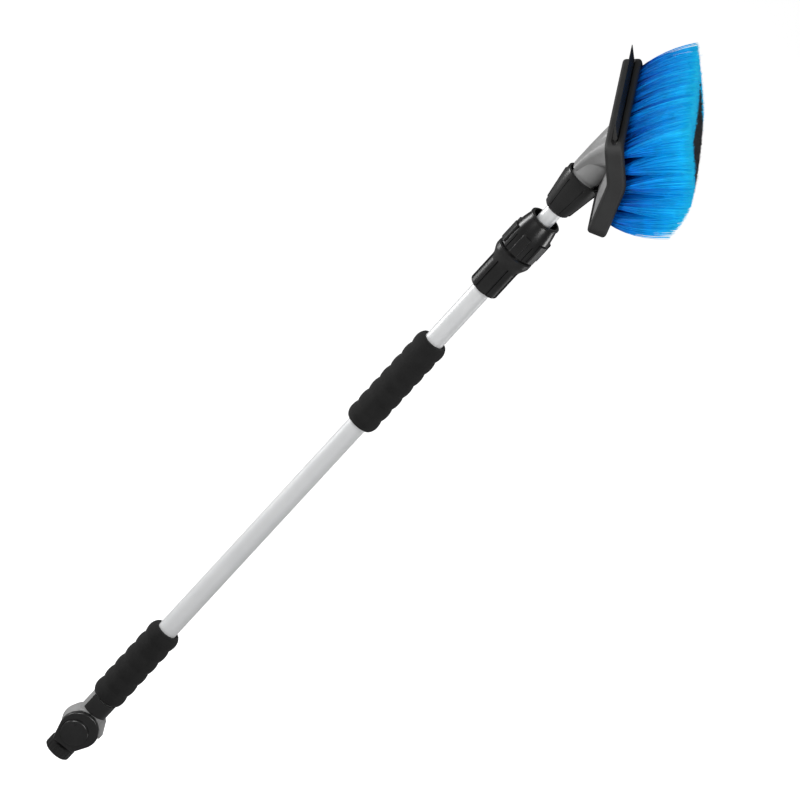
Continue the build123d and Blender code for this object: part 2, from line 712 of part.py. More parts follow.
SHELL_DEPTH = 7.0
SHELL_WALL = 3.0
SEAL = (7.0, 7.8)
BLOCK = (7.85, 17.0)
INSIDE = BUMPER_WALL + 0.2
INSIDE_CORNER = CORNER_R - INSIDE
NECK_SHOULDER = 1043.5
NUT_RELIEF_R = NUT_TOP_R + 1.2
SCREW_SPOTS = (-92.0, 92.0)
SCREW_OUT = 40.0
SCREW_R = 1.5
SCREW_HEAD_R = 3.0
SCREW_HEAD_T = 1.8
SCREW_TIP = 15.0
BOSS_R = 4.5

# A fan-shaped gusset grows from the back of the neck to the back of the shell.  Each section is
# (plane, middle across the head, half length, height, corner radius), with y towards EDGE.
HALFWAY_TILT = radians(0.5 * HEAD_TILT)
FAN_START = Plane(origin=(0, 0, 1045), x_dir=(0, 1, 0), z_dir=(0, 0, 1))
FAN_MIDDLE = Plane(
    origin=(0, 0, 1071),
    x_dir=(0, 1, 0),
    z_dir=(sin(HALFWAY_TILT), 0, cos(HALFWAY_TILT)),
)
FAN_SECTIONS = (
    (FAN_START, 17.5, 11.0, 7.0, 3.0),
    (FAN_MIDDLE, 10.5, 21.0, 24.0, 7.0),
    (BACK.offset(2.0), 1.0, 52.0, 50.0, 11.0),
)

with BuildPart() as nut_room:
    with BuildSketch(Plane.XY.offset(NUT_BOTTOM)):
        Circle(NUT_RELIEF_R)
        Circle(NECK_R + 0.5, mode=Mode.SUBTRACT)
    extrude(amount=NUT_TOP + 1.5 - NUT_BOTTOM)

shell_cavity = bent_slab(SHELL_WALL, SHELL_DEPTH + 1, INSIDE + SHELL_WALL, INSIDE_CORNER - 3)
above_shell = bent_slab(SHELL_DEPTH, SHELL_DEPTH + 60, -30, 1)

with BuildPart() as head_shell:
    add(bent_slab(0, SHELL_DEPTH, INSIDE, INSIDE_CORNER))
    with BuildSketch(Plane.XY.offset(NECK_START)):
        Circle(NECK_END_R)
    extrude(amount=NECK_SHOULDER - NECK_START)
    with BuildSketch(Plane.XY.offset(NECK_SHOULDER)):
        Circle(NECK_R)
    extrude(amount=HEAD_Z - NECK_SHOULDER + 15)
    for plane, middle, half_length, height, corner in FAN_SECTIONS:
        with BuildSketch(plane):
            with Locations((0, middle)):
                RectangleRounded(2 * half_length, height, corner)
    loft()
    add(above_shell, mode=Mode.SUBTRACT)
    with BuildSketch(Plane.XY.offset(NECK_START)):
        Circle(NECK_BORE_R)
    extrude(amount=FITTING[1] + 2 - NECK_START, mode=Mode.SUBTRACT)
    with BuildSketch(Plane.XY.offset(FITTING[1])):
        Circle(WATER_WAY_R)
    extrude(amount=HEAD_Z - FITTING[1] + 10, mode=Mode.SUBTRACT)
    add(shell_cavity, mode=Mode.SUBTRACT)
    for half in (-1, 1):
        with BuildSketch(half_plane(half).offset(SHELL_WALL - 0.5)):
            with Locations(*[(spot, SCREW_OUT) for spot in SCREW_SPOTS]):
                Circle(BOSS_R)
        extrude(amount=SHELL_DEPTH - SHELL_WALL + 0.5)
        with BuildSketch(half_plane(half).offset(-1)):
            with Locations(*[(spot, SCREW_OUT) for spot in SCREW_SPOTS]):
                Circle(SCREW_R + 0.1)
        extrude(amount=SHELL_DEPTH + 2, mode=Mode.SUBTRACT)
        with BuildSketch(half_plane(half).offset(-1)):
            with Locations(*[(spot, SCREW_OUT) for spot in SCREW_SPOTS]):
                Circle(SCREW_HEAD_R + 0.2)
        extrude(amount=1 + SCREW_HEAD_T + FIT_GAP, mode=Mode.SUBTRACT)
    add(nut_room.part, mode=Mode.SUBTRACT)
save(head_shell, "head_shell")

head_gasket = ring(NECK_END_R - 0.3, NECK_BORE_R, FLANGE[1] + FIT_GAP, NECK_START - FIT_GAP)
save(head_gasket, "head_gasket")

with BuildPart() as shell_screws:
    for half in (-1, 1):
        with BuildSketch(half_plane(half)):
            with Locations(*[(spot, SCREW_OUT) for spot in SCREW_SPOTS]):
                Circle(SCREW_HEAD_R)
        extrude(amount=SCREW_HEAD_T)
        with BuildSketch(half_plane(half)):
            with Locations(*[(spot, SCREW_OUT) for spot in SCREW_SPOTS]):
                Circle(SCREW_R)
        extrude(amount=SCREW_TIP)
save(shell_screws, "shell_screws")

with BuildPart() as block_seal:
    add(bent_slab(SEAL[0] + FIT_GAP, SEAL[1], INSIDE, INSIDE_CORNER))
    inner_edge = bent_slab(SEAL[0] - 1, SEAL[1] + 1, INSIDE + SHELL_WALL, INSIDE_CORNER - 3)
    add(inner_edge, mode=Mode.SUBTRACT)
save(block_seal, "block_seal")

JETS = 5
JET_PITCH = 40.0
JET_R = 1.5
with BuildPart() as brush_block:
    add(bent_slab(BLOCK[0], BLOCK[1], INSIDE, INSIDE_CORNER))
    for half in (-1, 1):
        with BuildSketch(half_plane(half).offset(SEAL[1])):
            with Locations(*[(spot, SCREW_OUT) for spot in SCREW_SPOTS]):
                Circle(SCREW_R + FIT_GAP)
        extrude(amount=SCREW_TIP - SEAL[1] + 0.3, mode=Mode.SUBTRACT)
    with BuildSketch(BACK):
        with GridLocations(JET_PITCH, 1, JETS, 1):
            Circle(JET_R)
    extrude(amount=BLOCK[1] + 10, mode=Mode.SUBTRACT)
save(brush_block, "brush_block")

# The squeegee stands out of a slot in the upper long side of the bumper.
BLADE_HALF_LENGTH = 122.0
BLADE_DEPTH = 10.0
BLADE_SLOT = 4.0
BLADE_ROOT_HALF = 1.6
BLADE_BASE_HALF = 3.0
BLADE_TIP_HALF = 0.5
BLADE_REACH = 21.0
BLADE_LEAN = 1.5              # the lip leans this much towards the bristles
RIM_R = 4.6
GROOVE_HALF = 4.6             # the wall is split into two rounded lips by a groove for the blade
GROOVE_DEEP = 2.8
LIP_BEVEL = 1.8
slot_floor = UPPER_HALF - BLADE_SLOT

with BuildPart() as bumper:
    add(bent_slab(BUMPER_BACK, HEAD_DEPTH, 0, CORNER_R))
    rims = [e for e in bumper.edges() if abs(e.length - (HEAD_DEPTH - BUMPER_BACK)) > 0.5]
    fillet([e for e in rims if e.length < 2 * HEAD_HALF_LENGTH - 1], RIM_R)
    add(bent_slab(-6, HEAD_DEPTH + 3, BUMPER_WALL, CORNER_R - BUMPER_WALL), mode=Mode.SUBTRACT)
    with BuildSketch(ACROSS):
        with BuildLine():
            Polyline(
                on_half(1, slot_floor, BLADE_DEPTH - BLADE_ROOT_HALF - FIT_GAP),
                on_half(1, slot_floor, BLADE_DEPTH + BLADE_ROOT_HALF + FIT_GAP),
                on_half(1, UPPER_HALF + 1, BLADE_DEPTH + BLADE_ROOT_HALF + FIT_GAP),
                on_half(1, UPPER_HALF + 1, BLADE_DEPTH - BLADE_ROOT_HALF - FIT_GAP),
                close=True,
            )
        make_face()
    extrude(amount=BLADE_HALF_LENGTH, both=True, mode=Mode.SUBTRACT)
    with BuildSketch(ACROSS):
        with BuildLine():
            Polyline(
                on_half(1, UPPER_HALF - GROOVE_DEEP, BLADE_DEPTH - BLADE_ROOT_HALF - FIT_GAP),
                on_half(1, UPPER_HALF - GROOVE_DEEP, BLADE_DEPTH + BLADE_ROOT_HALF + FIT_GAP),
                on_half(1, UPPER_HALF - LIP_BEVEL, BLADE_DEPTH + GROOVE_HALF - LIP_BEVEL),
                on_half(1, UPPER_HALF + 1, BLADE_DEPTH + GROOVE_HALF + 1),
                on_half(1, UPPER_HALF + 1, BLADE_DEPTH - GROOVE_HALF - 1),
                on_half(1, UPPER_HALF - LIP_BEVEL, BLADE_DEPTH - GROOVE_HALF + LIP_BEVEL),
                close=True,
            )
        make_face()
    extrude(amount=HEAD_HALF_LENGTH + 1, both=True, mode=Mode.SUBTRACT)
    with BuildSketch(Plane.XY.offset(NUT_BOTTOM)):
        Circle(NUT_RELIEF_R)
    extrude(amount=NUT_TOP + 1.5 - NUT_BOTTOM, mode=Mode.SUBTRACT)
save(bumper, "bumper")

with BuildPart() as squeegee_blade:
    with BuildSketch(ACROSS):
        with BuildLine():
            root = slot_floor + FIT_GAP
            base = UPPER_HALF + FIT_GAP
            tip = UPPER_HALF + BLADE_REACH
            Polyline(
                on_half(1, root, BLADE_DEPTH - BLADE_ROOT_HALF),
                on_half(1, base, BLADE_DEPTH - BLADE_ROOT_HALF),
                on_half(1, base + 1, BLADE_DEPTH - BLADE_BASE_HALF),
                on_half(1, tip, BLADE_DEPTH + BLADE_LEAN - BLADE_TIP_HALF),
                on_half(1, tip, BLADE_DEPTH + BLADE_LEAN + BLADE_TIP_HALF),
                on_half(1, base + 1, BLADE_DEPTH + BLADE_BASE_HALF),
                on_half(1, base, BLADE_DEPTH + BLADE_ROOT_HALF),
                on_half(1, root, BLADE_DEPTH + BLADE_ROOT_HALF),
                close=True,
            )
        make_face()
    extrude(amount=BLADE_HALF_LENGTH - FIT_GAP, both=True)
save(squeegee_blade, "squeegee_blade")


def bristle_mass(root, tips, half_root, half_tips, corner, crowned=True):
    """Flared block of bristles; root and tips are (low, high) across the head."""
    reach = BRISTLE_REACH
    with BuildPart() as mass:
        for out, (low, high), half in ((0, root, half_root), (reach, tips, half_tips)):
            with BuildSketch(BACK.offset(out)):
                with Locations((0, (low + high) / 2)):
                    RectangleRounded(2 * half, high - low, corner)
        loft()
        if crowned:
            low, high = tips
            crown = reach - 2
            with BuildSketch(ACROSS):
                with BuildLine():
                    Polyline(
                        (crown - 24, low - 20),
                        (-20, low - 20),
                        (-20, high + 20),
                        (crown - 30, high + 20),
                    )
                    ThreePointArc(
                        (crown - 30, high + 20),
                        (crown, (low + high) / 2 - 8),
                        (crown - 24, low - 20),
                    )
                make_face()
            extrude(amount=2 * HEAD_HALF_LENGTH, both=True, mode=Mode.INTERSECT)
        add(bent_slab(-60, BLOCK[1] + 0.3, -40, 1), mode=Mode.SUBTRACT)
    return mass.part


ROOT_SPAN = (-60.0, 46.0)
TIP_SPAN = (-60.0, 90.0)
CORE_ROOT = (-30.0, 26.0)
CORE_TIPS = (-32.0, 58.0)
CORE_HALF_ROOT = 98.0
CORE_HALF_TIPS = 108.0
ROOT_HALF = HEAD_HALF_LENGTH - 11.0
CORE_GAP = 0.5
CORE_CORNER = 12.0

with BuildPart() as bristles_core:
    add(bristle_mass(CORE_ROOT, CORE_TIPS, CORE_HALF_ROOT, CORE_HALF_TIPS, CORE_CORNER))
save(bristles_core, "bristles_core")


def widened(span):
    """A span made a little wider at both ends."""
    return (span[0] - CORE_GAP, span[1] + CORE_GAP)


core_room = bristle_mass(
    widened(CORE_ROOT),
    widened(CORE_TIPS),
    CORE_HALF_ROOT + CORE_GAP,
    CORE_HALF_TIPS + CORE_GAP,
    CORE_CORNER,
    crowned=False,
)
with BuildPart() as bristles_outer:
    add(bristle_mass(ROOT_SPAN, TIP_SPAN, ROOT_HALF, ROOT_HALF + BRISTLE_FLARE, CORE_CORNER + 2))
    add(core_room, mode=Mode.SUBTRACT)
save(bristles_outer, "bristles_outer")
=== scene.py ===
"""Looks for the flow-through brush pole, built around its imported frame."""

import json
import math

import bpy
import numpy as np
from mathutils import Matrix, Vector


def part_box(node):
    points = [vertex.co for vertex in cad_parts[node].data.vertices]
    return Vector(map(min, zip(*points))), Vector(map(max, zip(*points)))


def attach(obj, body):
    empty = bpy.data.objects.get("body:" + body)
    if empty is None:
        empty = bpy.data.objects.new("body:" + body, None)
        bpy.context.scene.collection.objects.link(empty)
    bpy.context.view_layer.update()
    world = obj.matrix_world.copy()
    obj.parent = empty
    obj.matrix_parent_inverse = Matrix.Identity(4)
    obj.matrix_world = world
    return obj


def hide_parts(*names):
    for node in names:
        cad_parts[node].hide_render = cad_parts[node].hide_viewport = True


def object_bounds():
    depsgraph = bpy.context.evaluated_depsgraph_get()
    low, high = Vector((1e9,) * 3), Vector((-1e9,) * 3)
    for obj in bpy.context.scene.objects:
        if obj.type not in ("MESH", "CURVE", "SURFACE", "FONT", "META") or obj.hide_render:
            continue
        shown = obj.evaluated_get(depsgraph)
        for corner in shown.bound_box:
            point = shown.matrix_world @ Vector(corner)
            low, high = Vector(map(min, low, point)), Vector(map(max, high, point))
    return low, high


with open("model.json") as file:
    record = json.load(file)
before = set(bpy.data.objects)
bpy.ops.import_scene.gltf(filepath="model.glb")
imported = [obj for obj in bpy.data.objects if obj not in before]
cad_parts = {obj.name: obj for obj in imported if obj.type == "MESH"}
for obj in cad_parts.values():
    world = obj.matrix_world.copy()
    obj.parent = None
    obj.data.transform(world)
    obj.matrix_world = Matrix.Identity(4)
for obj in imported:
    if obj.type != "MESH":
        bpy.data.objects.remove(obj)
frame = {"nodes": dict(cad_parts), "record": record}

MM = 0.001
cad_box = [list(corner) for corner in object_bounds()]

# ---- where the head is -------------------------------------------------------------------------
# OUT is the way the bristles point, EDGE runs across the head towards the squeegee, ALONG is its
# length.  The head's halves are bent back by BEND from the ridge line through RIDGE.
RIDGE = Vector((0.2, 0.0, 1105.1)) * MM
HEAD_TILT = math.radians(59.5)
BEND = math.radians(12.5)
OUT = Vector((math.sin(HEAD_TILT), 0, math.cos(HEAD_TILT)))
EDGE = Vector((-math.cos(HEAD_TILT), 0, math.sin(HEAD_TILT)))
ALONG = Vector((0, 1, 0))


# ---- materials ---------------------------------------------------------------------------------
class Nodes:
    """Short way to build one node material."""

    def __init__(self, name):
        self.material = bpy.data.materials.new(name)
        self.material.use_nodes = True
        self.tree = self.material.node_tree
        self.shader = self.tree.nodes["Principled BSDF"]
        self.place = self.add("ShaderNodeTexCoord").outputs["Object"]

    def add(self, kind, **settings):
        node = self.tree.nodes.new(kind)
        for key, value in settings.items():
            if key in node.inputs:
                node.inputs[key].default_value = value
            else:
                setattr(node, key, value)
        return node

    def link(self, source, target):
        self.tree.links.new(source, target)

    def stretched(self, scale):
        """Object coordinates scaled by a vector, for grain that runs one way."""
        mapping = self.add("ShaderNodeMapping")
        mapping.inputs["Scale"].default_value = scale
        self.link(self.place, mapping.inputs["Vector"])
        return mapping.outputs["Vector"]

    def noise(self, scale, detail=4.0, vector=None):
        node = self.add("ShaderNodeTexNoise", Scale=scale, Detail=detail)
        self.link(vector or self.place, node.inputs["Vector"])
        return node.outputs["Fac"]

    def ramp(self, factor, stops):
        """Colour ramp with (place, colour) stops."""
        node = self.add("ShaderNodeValToRGB")
        points = node.color_ramp.elements
        while len(points) < len(stops):
            points.new(0.5)
        for point, (place, colour) in zip(points, stops):
            point.position = place
            point.color = (*colour, 1)
        self.link(factor, node.inputs["Fac"])
        return node.outputs["Color"]

    def span(self, factor, low, high):
        """Remap a 0 to 1 factor to low to high."""
        node = self.add("ShaderNodeMapRange")
        node.inputs["To Min"].default_value = low
        node.inputs["To Max"].default_value = high
        self.link(factor, node.inputs["Value"])
        return node.outputs["Result"]

    def bump(self, height, strength, distance):
        node = self.add("ShaderNodeBump", Strength=strength, Distance=distance)
        self.link(height, node.inputs["Height"])
        self.link(node.outputs["Normal"], self.shader.inputs["Normal"])

    def set(self, **values):
        for key, value in values.items():
            socket = self.shader.inputs[key.replace("_", " ")]
            if isinstance(value, bpy.types.NodeSocket):
                self.link(value, socket)
            else:
                socket.default_value = value


def grey(level):
    return (level, level, level)


def satin_aluminium():
    """Anodised tube: fine lines along Z, with faint cloudiness."""
    m = Nodes("satin_aluminium")
    lines = m.noise(900, 3, m.stretched((1, 1, 0.012)))
    clouds = m.noise(18, 3)
    colour = m.ramp(clouds, [(0.3, (0.79, 0.80, 0.81)), (0.75, (0.86, 0.865, 0.87))])
    m.set(Base_Color=colour, Metallic=0.35, Roughness=m.span(lines, 0.32, 0.42))
    m.bump(lines, 0.12, 0.0002)
    return m.material


def moulded(name, dark, light, rough_low, rough_high, grain=1600, strength=0.08, shine=0.5):
    """Moulded plastic: fine spark-eroded grain, faint flow marks and handling haze."""
    m = Nodes(name)
    grain_height = m.noise(grain, 2)
    haze = m.noise(35, 5)
    m.set(
        Base_Color=m.ramp(haze, [(0.35, dark), (0.7, light)]),
        Roughness=m.span(haze, rough_low, rough_high),
        Specular_IOR_Level=shine,
    )
    m.bump(grain_height, strength, 0.0002)
    return m.material


def foam():
    """Closed-cell foam: pitted skin that takes hardly any light."""
    m = Nodes("black_foam")
    cells = m.add("ShaderNodeTexVoronoi", Scale=1100.0)
    m.link(m.place, cells.inputs["Vector"])
    haze = m.noise(60, 6)
    m.set(
        Base_Color=m.ramp(haze, [(0.3, grey(0.006)), (0.75, grey(0.012))]),
        Roughness=m.span(haze, 0.80, 0.95),
        Specular_IOR_Level=0.25,
        Sheen_Weight=0.04,
        Sheen_Roughness=0.6,
    )
    m.bump(cells.outputs["Distance"], 0.45, 0.0004)
    return m.material


def filament(name, stops, rough, glow):
    """Bristle filament, with a colour that runs from root to tip and a painted glow, an emission
    that stands in for the light that clear nylon carries along its length."""
    m = Nodes(name)
    grade = m.add("ShaderNodeAttribute", attribute_name="grade").outputs["Fac"]
    streaks = m.noise(70, 3)
    colour = m.ramp(grade, stops)
    tint = m.add("ShaderNodeHueSaturation")
    m.link(m.span(streaks, 0.62, 1.18), tint.inputs["Value"])
    m.link(colour, tint.inputs["Color"])
    colour = tint.outputs["Color"]
    m.set(Base_Color=colour, Roughness=rough, Specular_IOR_Level=0.25)
    # Painted glow: the filament emits its own colour, stronger towards the tip.
    m.set(Emission_Color=colour, Emission_Strength=m.span(grade, 0.3 * glow, glow))
    return m.material


def brushed(name, dark, light, rough):
    """Turned or drawn metal for the small fastenings and valve parts."""
    m = Nodes(name)
    lines = m.noise(1400, 2, m.stretched((1, 1, 0.05)))
    m.set(
        Base_Color=m.ramp(lines, [(0.3, dark), (0.7, light)]),
        Metallic=1.0,
        Roughness=m.span(lines, rough - 0.07, rough + 0.07),
    )
    return m.material


# Colours from the root, at 0, to the tip, at 1. The near-black first stop is painted shade down among
# the roots.
BLUE_STOPS = [
    (0.0, (0.000, 0.010, 0.10)),
    (0.08, (0.000, 0.125, 0.62)),
    (0.35, (0.000, 0.260, 0.74)),
    (0.70, (0.000, 0.40, 0.82)),
    (1.0, (0.008, 0.54, 0.86)),
]
# Strength of the blue bristles' painted glow at the tips.
BLUE_PAINTED_GLOW = 0.38
CORE_STOPS = [(0.0, grey(0.010)), (0.7, (0.022, 0.024, 0.028)), (1.0, (0.050, 0.053, 0.060))]

finishes = {
    "satin_aluminium": satin_aluminium(),
    "black_plastic": moulded("black_plastic", grey(0.009), grey(0.015), 0.20, 0.30),
    "grey_plastic": moulded("grey_plastic", grey(0.27), grey(0.33), 0.34, 0.46),
    "black_rubber": moulded("black_rubber", grey(0.012), grey(0.018), 0.58, 0.70, 900, 0.12),
    "blade_rubber": moulded("blade_rubber", grey(0.030), grey(0.040), 0.70, 0.80, 900, 0.12, 0.06),
    "black_foam": foam(),
    "blue_bristle": filament("blue_bristle", BLUE_STOPS, 0.42, BLUE_PAINTED_GLOW),
    "charcoal_bristle": filament("charcoal_bristle", CORE_STOPS, 0.60, 0.0),
    "seal_rubber": moulded("seal_rubber", grey(0.010), grey(0.016), 0.5, 0.6),
    "white_acetal": moulded("white_acetal", grey(0.62), grey(0.70), 0.32, 0.42),
    "stainless_steel": brushed("stainless_steel", grey(0.52), grey(0.64), 0.26),
    "brass": brushed("brass", (0.60, 0.42, 0.16), (0.74, 0.56, 0.26), 0.24),
}

# The blade is duller than the other rubber pieces that share its material.
OWN_FINISH = {"squeegee_blade": "blade_rubber"}

for entry in frame["record"]["subparts"]:
    slots = frame["nodes"][entry["node"]].data.materials
    finish = OWN_FINISH.get(entry["node"], entry["material_slot"])
    for index in range(len(slots)):
        slots[index] = finishes[finish]


def finished_piece(name, mesh, slot, body):
    """Object from a mesh, with its finish, riding on a body."""
    piece = bpy.data.objects.new(name, mesh)
    bpy.context.collection.objects.link(piece)
    mesh.materials.append(finishes[slot])
    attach(piece, body)
    return piece


# ---- foam grips --------------------------------------------------------------------------------
GRIP_SIDES = 96
GRIP_BORE = 12.75 * MM
GRIP_VALLEY = 18.9 * MM
GRIP_RIDGE = 21.2 * MM
GRIP_END = GRIP_BORE + 4.0 * MM        # radius that the first and last lobes round down to
LOBE_STEPS = 14
LOBE_ROUNDING = 0.62                   # below 1 the lobes are fuller than a sine
RIM_CUT = ((1.6 * MM, 0.2 * MM), (0.4 * MM, 0.8 * MM))    # steps (out from the bore, in from the end)
BORE_INSET = 3.0 * MM


def grip_profile(low, high, lobes):
    """(radius, height) points up the outside of a scalloped grip, then down its bore."""
    pitch = (high - low) / lobes
    points = []
    for lobe in range(lobes):
        for step in range(LOBE_STEPS):
            share = (step + 0.5) / LOBE_STEPS
            swell = math.sin(math.pi * share) ** LOBE_ROUNDING
            at_end = (lobe == 0 and share < 0.5) or (lobe == lobes - 1 and share > 0.5)
            valley = GRIP_END if at_end else GRIP_VALLEY
            points.append((valley + (GRIP_RIDGE - valley) * swell, low + pitch * (lobe + share)))
    top = [(GRIP_BORE + out, high - inward) for out, inward in RIM_CUT]
    bottom = [(GRIP_BORE + out, low + inward) for out, inward in reversed(RIM_CUT)]
    bore = [(GRIP_BORE, high - BORE_INSET), (GRIP_BORE, low + BORE_INSET)]
    return points + top + bore + bottom


def revolved(name, profile, sides):
    """Closed mesh turned about Z from a closed loop of (radius, height) points."""
    count = len(profile)
    angles = np.arange(sides) * 2 * math.pi / sides
    ring = np.array(profile)
    x = ring[:, 0][:, None] * np.cos(angles)
    y = ring[:, 0][:, None] * np.sin(angles)
    z = np.repeat(ring[:, 1][:, None], sides, axis=1)
    points = np.stack((x, y, z), axis=2).reshape(-1, 3)
    faces = []
    for row in range(count):
        above = (row + 1) % count
        for side in range(sides):
            turn = (side + 1) % sides
            faces.append((
                row * sides + side,
                row * sides + turn,
                above * sides + turn,
                above * sides + side,
            ))
    mesh = bpy.data.meshes.new(name)
    mesh.from_pydata(points.tolist(), [], faces)
    mesh.shade_smooth()
    return mesh


def foam_grip(node, lobes):
    """Scalloped foam sleeve in the space of its CAD sleeve."""
    low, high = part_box(node)
    mesh = revolved(node + "_foam", grip_profile(low[2], high[2], lobes), GRIP_SIDES)
    piece = finished_piece(node + "_foam", mesh, "black_foam", "outer_pole")
    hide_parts(node)


foam_grip("lower_foam_grip", 6)
foam_grip("upper_foam_grip", 7)

# ---- bristles ----------------------------------------------------------------------------------
# Lengths are in mm.  Tufts stand in a grid, and each has a place from -1 to 1 across the head and
# along it.
ROWS, COLUMNS = 10, 22                 # tufts across the head and along it
CORE_ROWS = (2, 7)                     # first and last row of the dark core tufts
CORE_COLUMNS = (3, 18)
BLOCK_FRONT = 17.0
ROOT_EDGE = (-56.0, 43.0)
ROOT_HALF_LENGTH = 124.0
ROOT_DEPTH = 0.5
TIP_EDGE = (-49.0, 83.0)
TIP_HALF_LENGTH = 126.0
TUFT_R = 2.9
TUFT_SEED = 5
PINCH = 0.100                          # the roots of neighbouring rows stand in pairs
PINCH_COLUMNS = 8                      # less and less over this many columns from the near end
JITTER = 0.012

# The tips are trimmed to a curve, given as (place along EDGE, reach along OUT), which drops
# towards the far end by (place along EDGE, drop along OUT).
TRIM = (
    (-66.0, 77.0), (-53.0, 85.5), (-36.0, 95.0), (-15.0, 102.0), (3.0, 103.5),
    (31.0, 98.5), (58.0, 92.5), (88.0, 86.5), (100.0, 83.0),
)
DROP = ((-32.0, 0.0), (-9.0, 8.0), (24.0, 9.5), (54.0, 10.0), (90.0, 12.0))
TIP_SCATTER = (0.9, 1.6, 1.6)          # spread of the tips along OUT, EDGE and ALONG
STRAY = 0.9                            # how much wider the few strands that stand out go
STRAY_POWER = 10                       # a higher power leaves fewer of them

MIDDLE_AT = 0.42                       # where a strand's middle point stands, root to tip
LEAN = 0.22                            # the upper strands turn towards their tips early
BELLY = 12.0                           # how far the lowest strands bulge out half way
FAN = 4.0                              # how far the end strands bulge along the head
STRAND_R = 0.42
STRAND_TAPER = 0.45
STRAND_STEPS = 6
STRAND_SIDES = 3
SIDE_GUIDE = (0.3, 0.2, 0.93)          # no strand runs this way, so it gives each a side

OUTER_ZONE = 0.9                       # tufts nearer the middle than this get painted shade, a darker colour
# Painted shade for the inner tufts: how far their colours shift back towards the dark root stop.
INNER_PAINTED_SHADE = 0.12
TUFT_SHADE_SPREAD = 0.07
STRAND_SHADE_SPREAD = 0.12

BLUE_TUFT = {"strands": 80, "spread": 9.0, "proud": (0.0, 0.0), "slot": "blue_bristle"}
CORE_TUFT = {"strands": 52, "spread": 5.5, "proud": (0.5, 0.0), "slot": "charcoal_bristle"}


def between(ends, place):
    """Value at a place from -1 to 1 between two ends."""
    return ends[0] + (ends[1] - ends[0]) * (place + 1) / 2


def trim(edge, along):
    """Reach along OUT of a tip at these distances along EDGE and ALONG."""
    run = np.clip(0.5 + 0.5 * along / TIP_HALF_LENGTH, 0, 1)
    return np.interp(edge, *zip(*TRIM)) - np.interp(edge, *zip(*DROP)) * run**2


def tuft_strands(across, along, pinch, tuft, rng):
    """Root, middle and tip points, in head axes, of the strands of one tuft."""
    count = tuft["strands"]
    root_edge = between(ROOT_EDGE, across + pinch)
    root_out = BLOCK_FRONT / math.cos(BEND) - abs(root_edge) * math.tan(BEND) - ROOT_DEPTH
    turn = rng.random(count) * 2 * math.pi
    reach = np.sqrt(rng.random(count))
    disc = np.stack((np.zeros(count), np.cos(turn) * reach, np.sin(turn) * reach), axis=1)
    stray = 1 + STRAY * rng.random((count, 1)) ** STRAY_POWER
    root = np.array((root_out, root_edge, along * ROOT_HALF_LENGTH)) + disc * TUFT_R
    tip = np.array((0, between(TIP_EDGE, across), along * TIP_HALF_LENGTH))
    tip = tip + disc * tuft["spread"] * stray
    tip += rng.normal(0, 1, (count, 3)) * np.array(TIP_SCATTER)
    tip[:, 0] += trim(tip[:, 1], tip[:, 2]) + between(tuft["proud"], along)
    middle = root + (tip - root) * MIDDLE_AT
    if across > 0:
        middle[:, 1] += (tip[:, 1] - root[:, 1]) * LEAN
    else:
        middle[:, 1] -= BELLY * across**2
    middle[:, 2] += along * FAN
    return root, middle, tip


def strand_mesh(name, roots, middles, tips, shades):
    """One mesh of thin three-sided strands along quadratic curves."""
    count = len(roots)
    share = np.linspace(0, 1, STRAND_STEPS + 1)[:, None, None]
    line = (1 - share) ** 2 * roots + 2 * share * (1 - share) * middles + share**2 * tips
    way = tips - roots
    way /= np.linalg.norm(way, axis=1, keepdims=True)
    side = np.cross(way, np.array(SIDE_GUIDE))
    side /= np.linalg.norm(side, axis=1, keepdims=True)
    other = np.cross(way, side)
    rings = []
    for corner in range(STRAND_SIDES):
        angle = 2 * math.pi * corner / STRAND_SIDES
        thick = STRAND_R * (1.0 - STRAND_TAPER * share)
        rings.append(line + thick * (math.cos(angle) * side + math.sin(angle) * other))
    points = np.stack(rings, axis=2)                     # step, strand, corner, axis
    points = points.transpose(1, 0, 2, 3).reshape(-1, 3)
    basis = np.array((OUT, EDGE, ALONG))
    world = np.array(RIDGE) + points @ basis * MM
    per_strand = (STRAND_STEPS + 1) * STRAND_SIDES
    pattern = []
    for step in range(STRAND_STEPS):
        for corner in range(STRAND_SIDES):
            turn = (corner + 1) % STRAND_SIDES
            low, high = step * STRAND_SIDES, (step + 1) * STRAND_SIDES
            pattern.append((low + corner, low + turn, high + turn))
            pattern.append((low + corner, high + turn, high + corner))
    last = STRAND_STEPS * STRAND_SIDES
    pattern += [(2, 1, 0), (last, last + 1, last + 2)]
    faces = np.array(pattern)[None] + (np.arange(count) * per_strand)[:, None, None]
    faces = faces.reshape(-1, 3)
    mesh = bpy.data.meshes.new(name)
    mesh.from_pydata(world.tolist(), [], faces.tolist())
    grade = mesh.attributes.new("grade", "FLOAT", "POINT")
    run = np.repeat(share.ravel(), STRAND_SIDES)[None, :]
    grade.data.foreach_set("value", np.clip(run + shades[:, None], 0, 1).ravel())
    mesh.shade_smooth()
    return mesh


def bristle_piece(name, cells, tuft, seed):
    """One piece with a tuft in each (across, along, pinch) cell."""
    rng = np.random.default_rng(seed)
    parts = []
    shades = []
    for across, along, pinch in cells:
        parts.append(tuft_strands(across, along, pinch, tuft, rng))
        # Inner tufts get painted shade. The random spreads below are each tuft's and strand's own
        # tone.
        shade = 0.0 if max(abs(across), abs(along)) > OUTER_ZONE else -INNER_PAINTED_SHADE
        shade += rng.normal(0, TUFT_SHADE_SPREAD)
        shades.append(shade + rng.normal(0, STRAND_SHADE_SPREAD, tuft["strands"]))
    roots, middles, tips = (np.concatenate(group) for group in zip(*parts))
    mesh = strand_mesh(name, roots, middles, tips, np.concatenate(shades))
    return finished_piece(name, mesh, tuft["slot"], "brush_head")


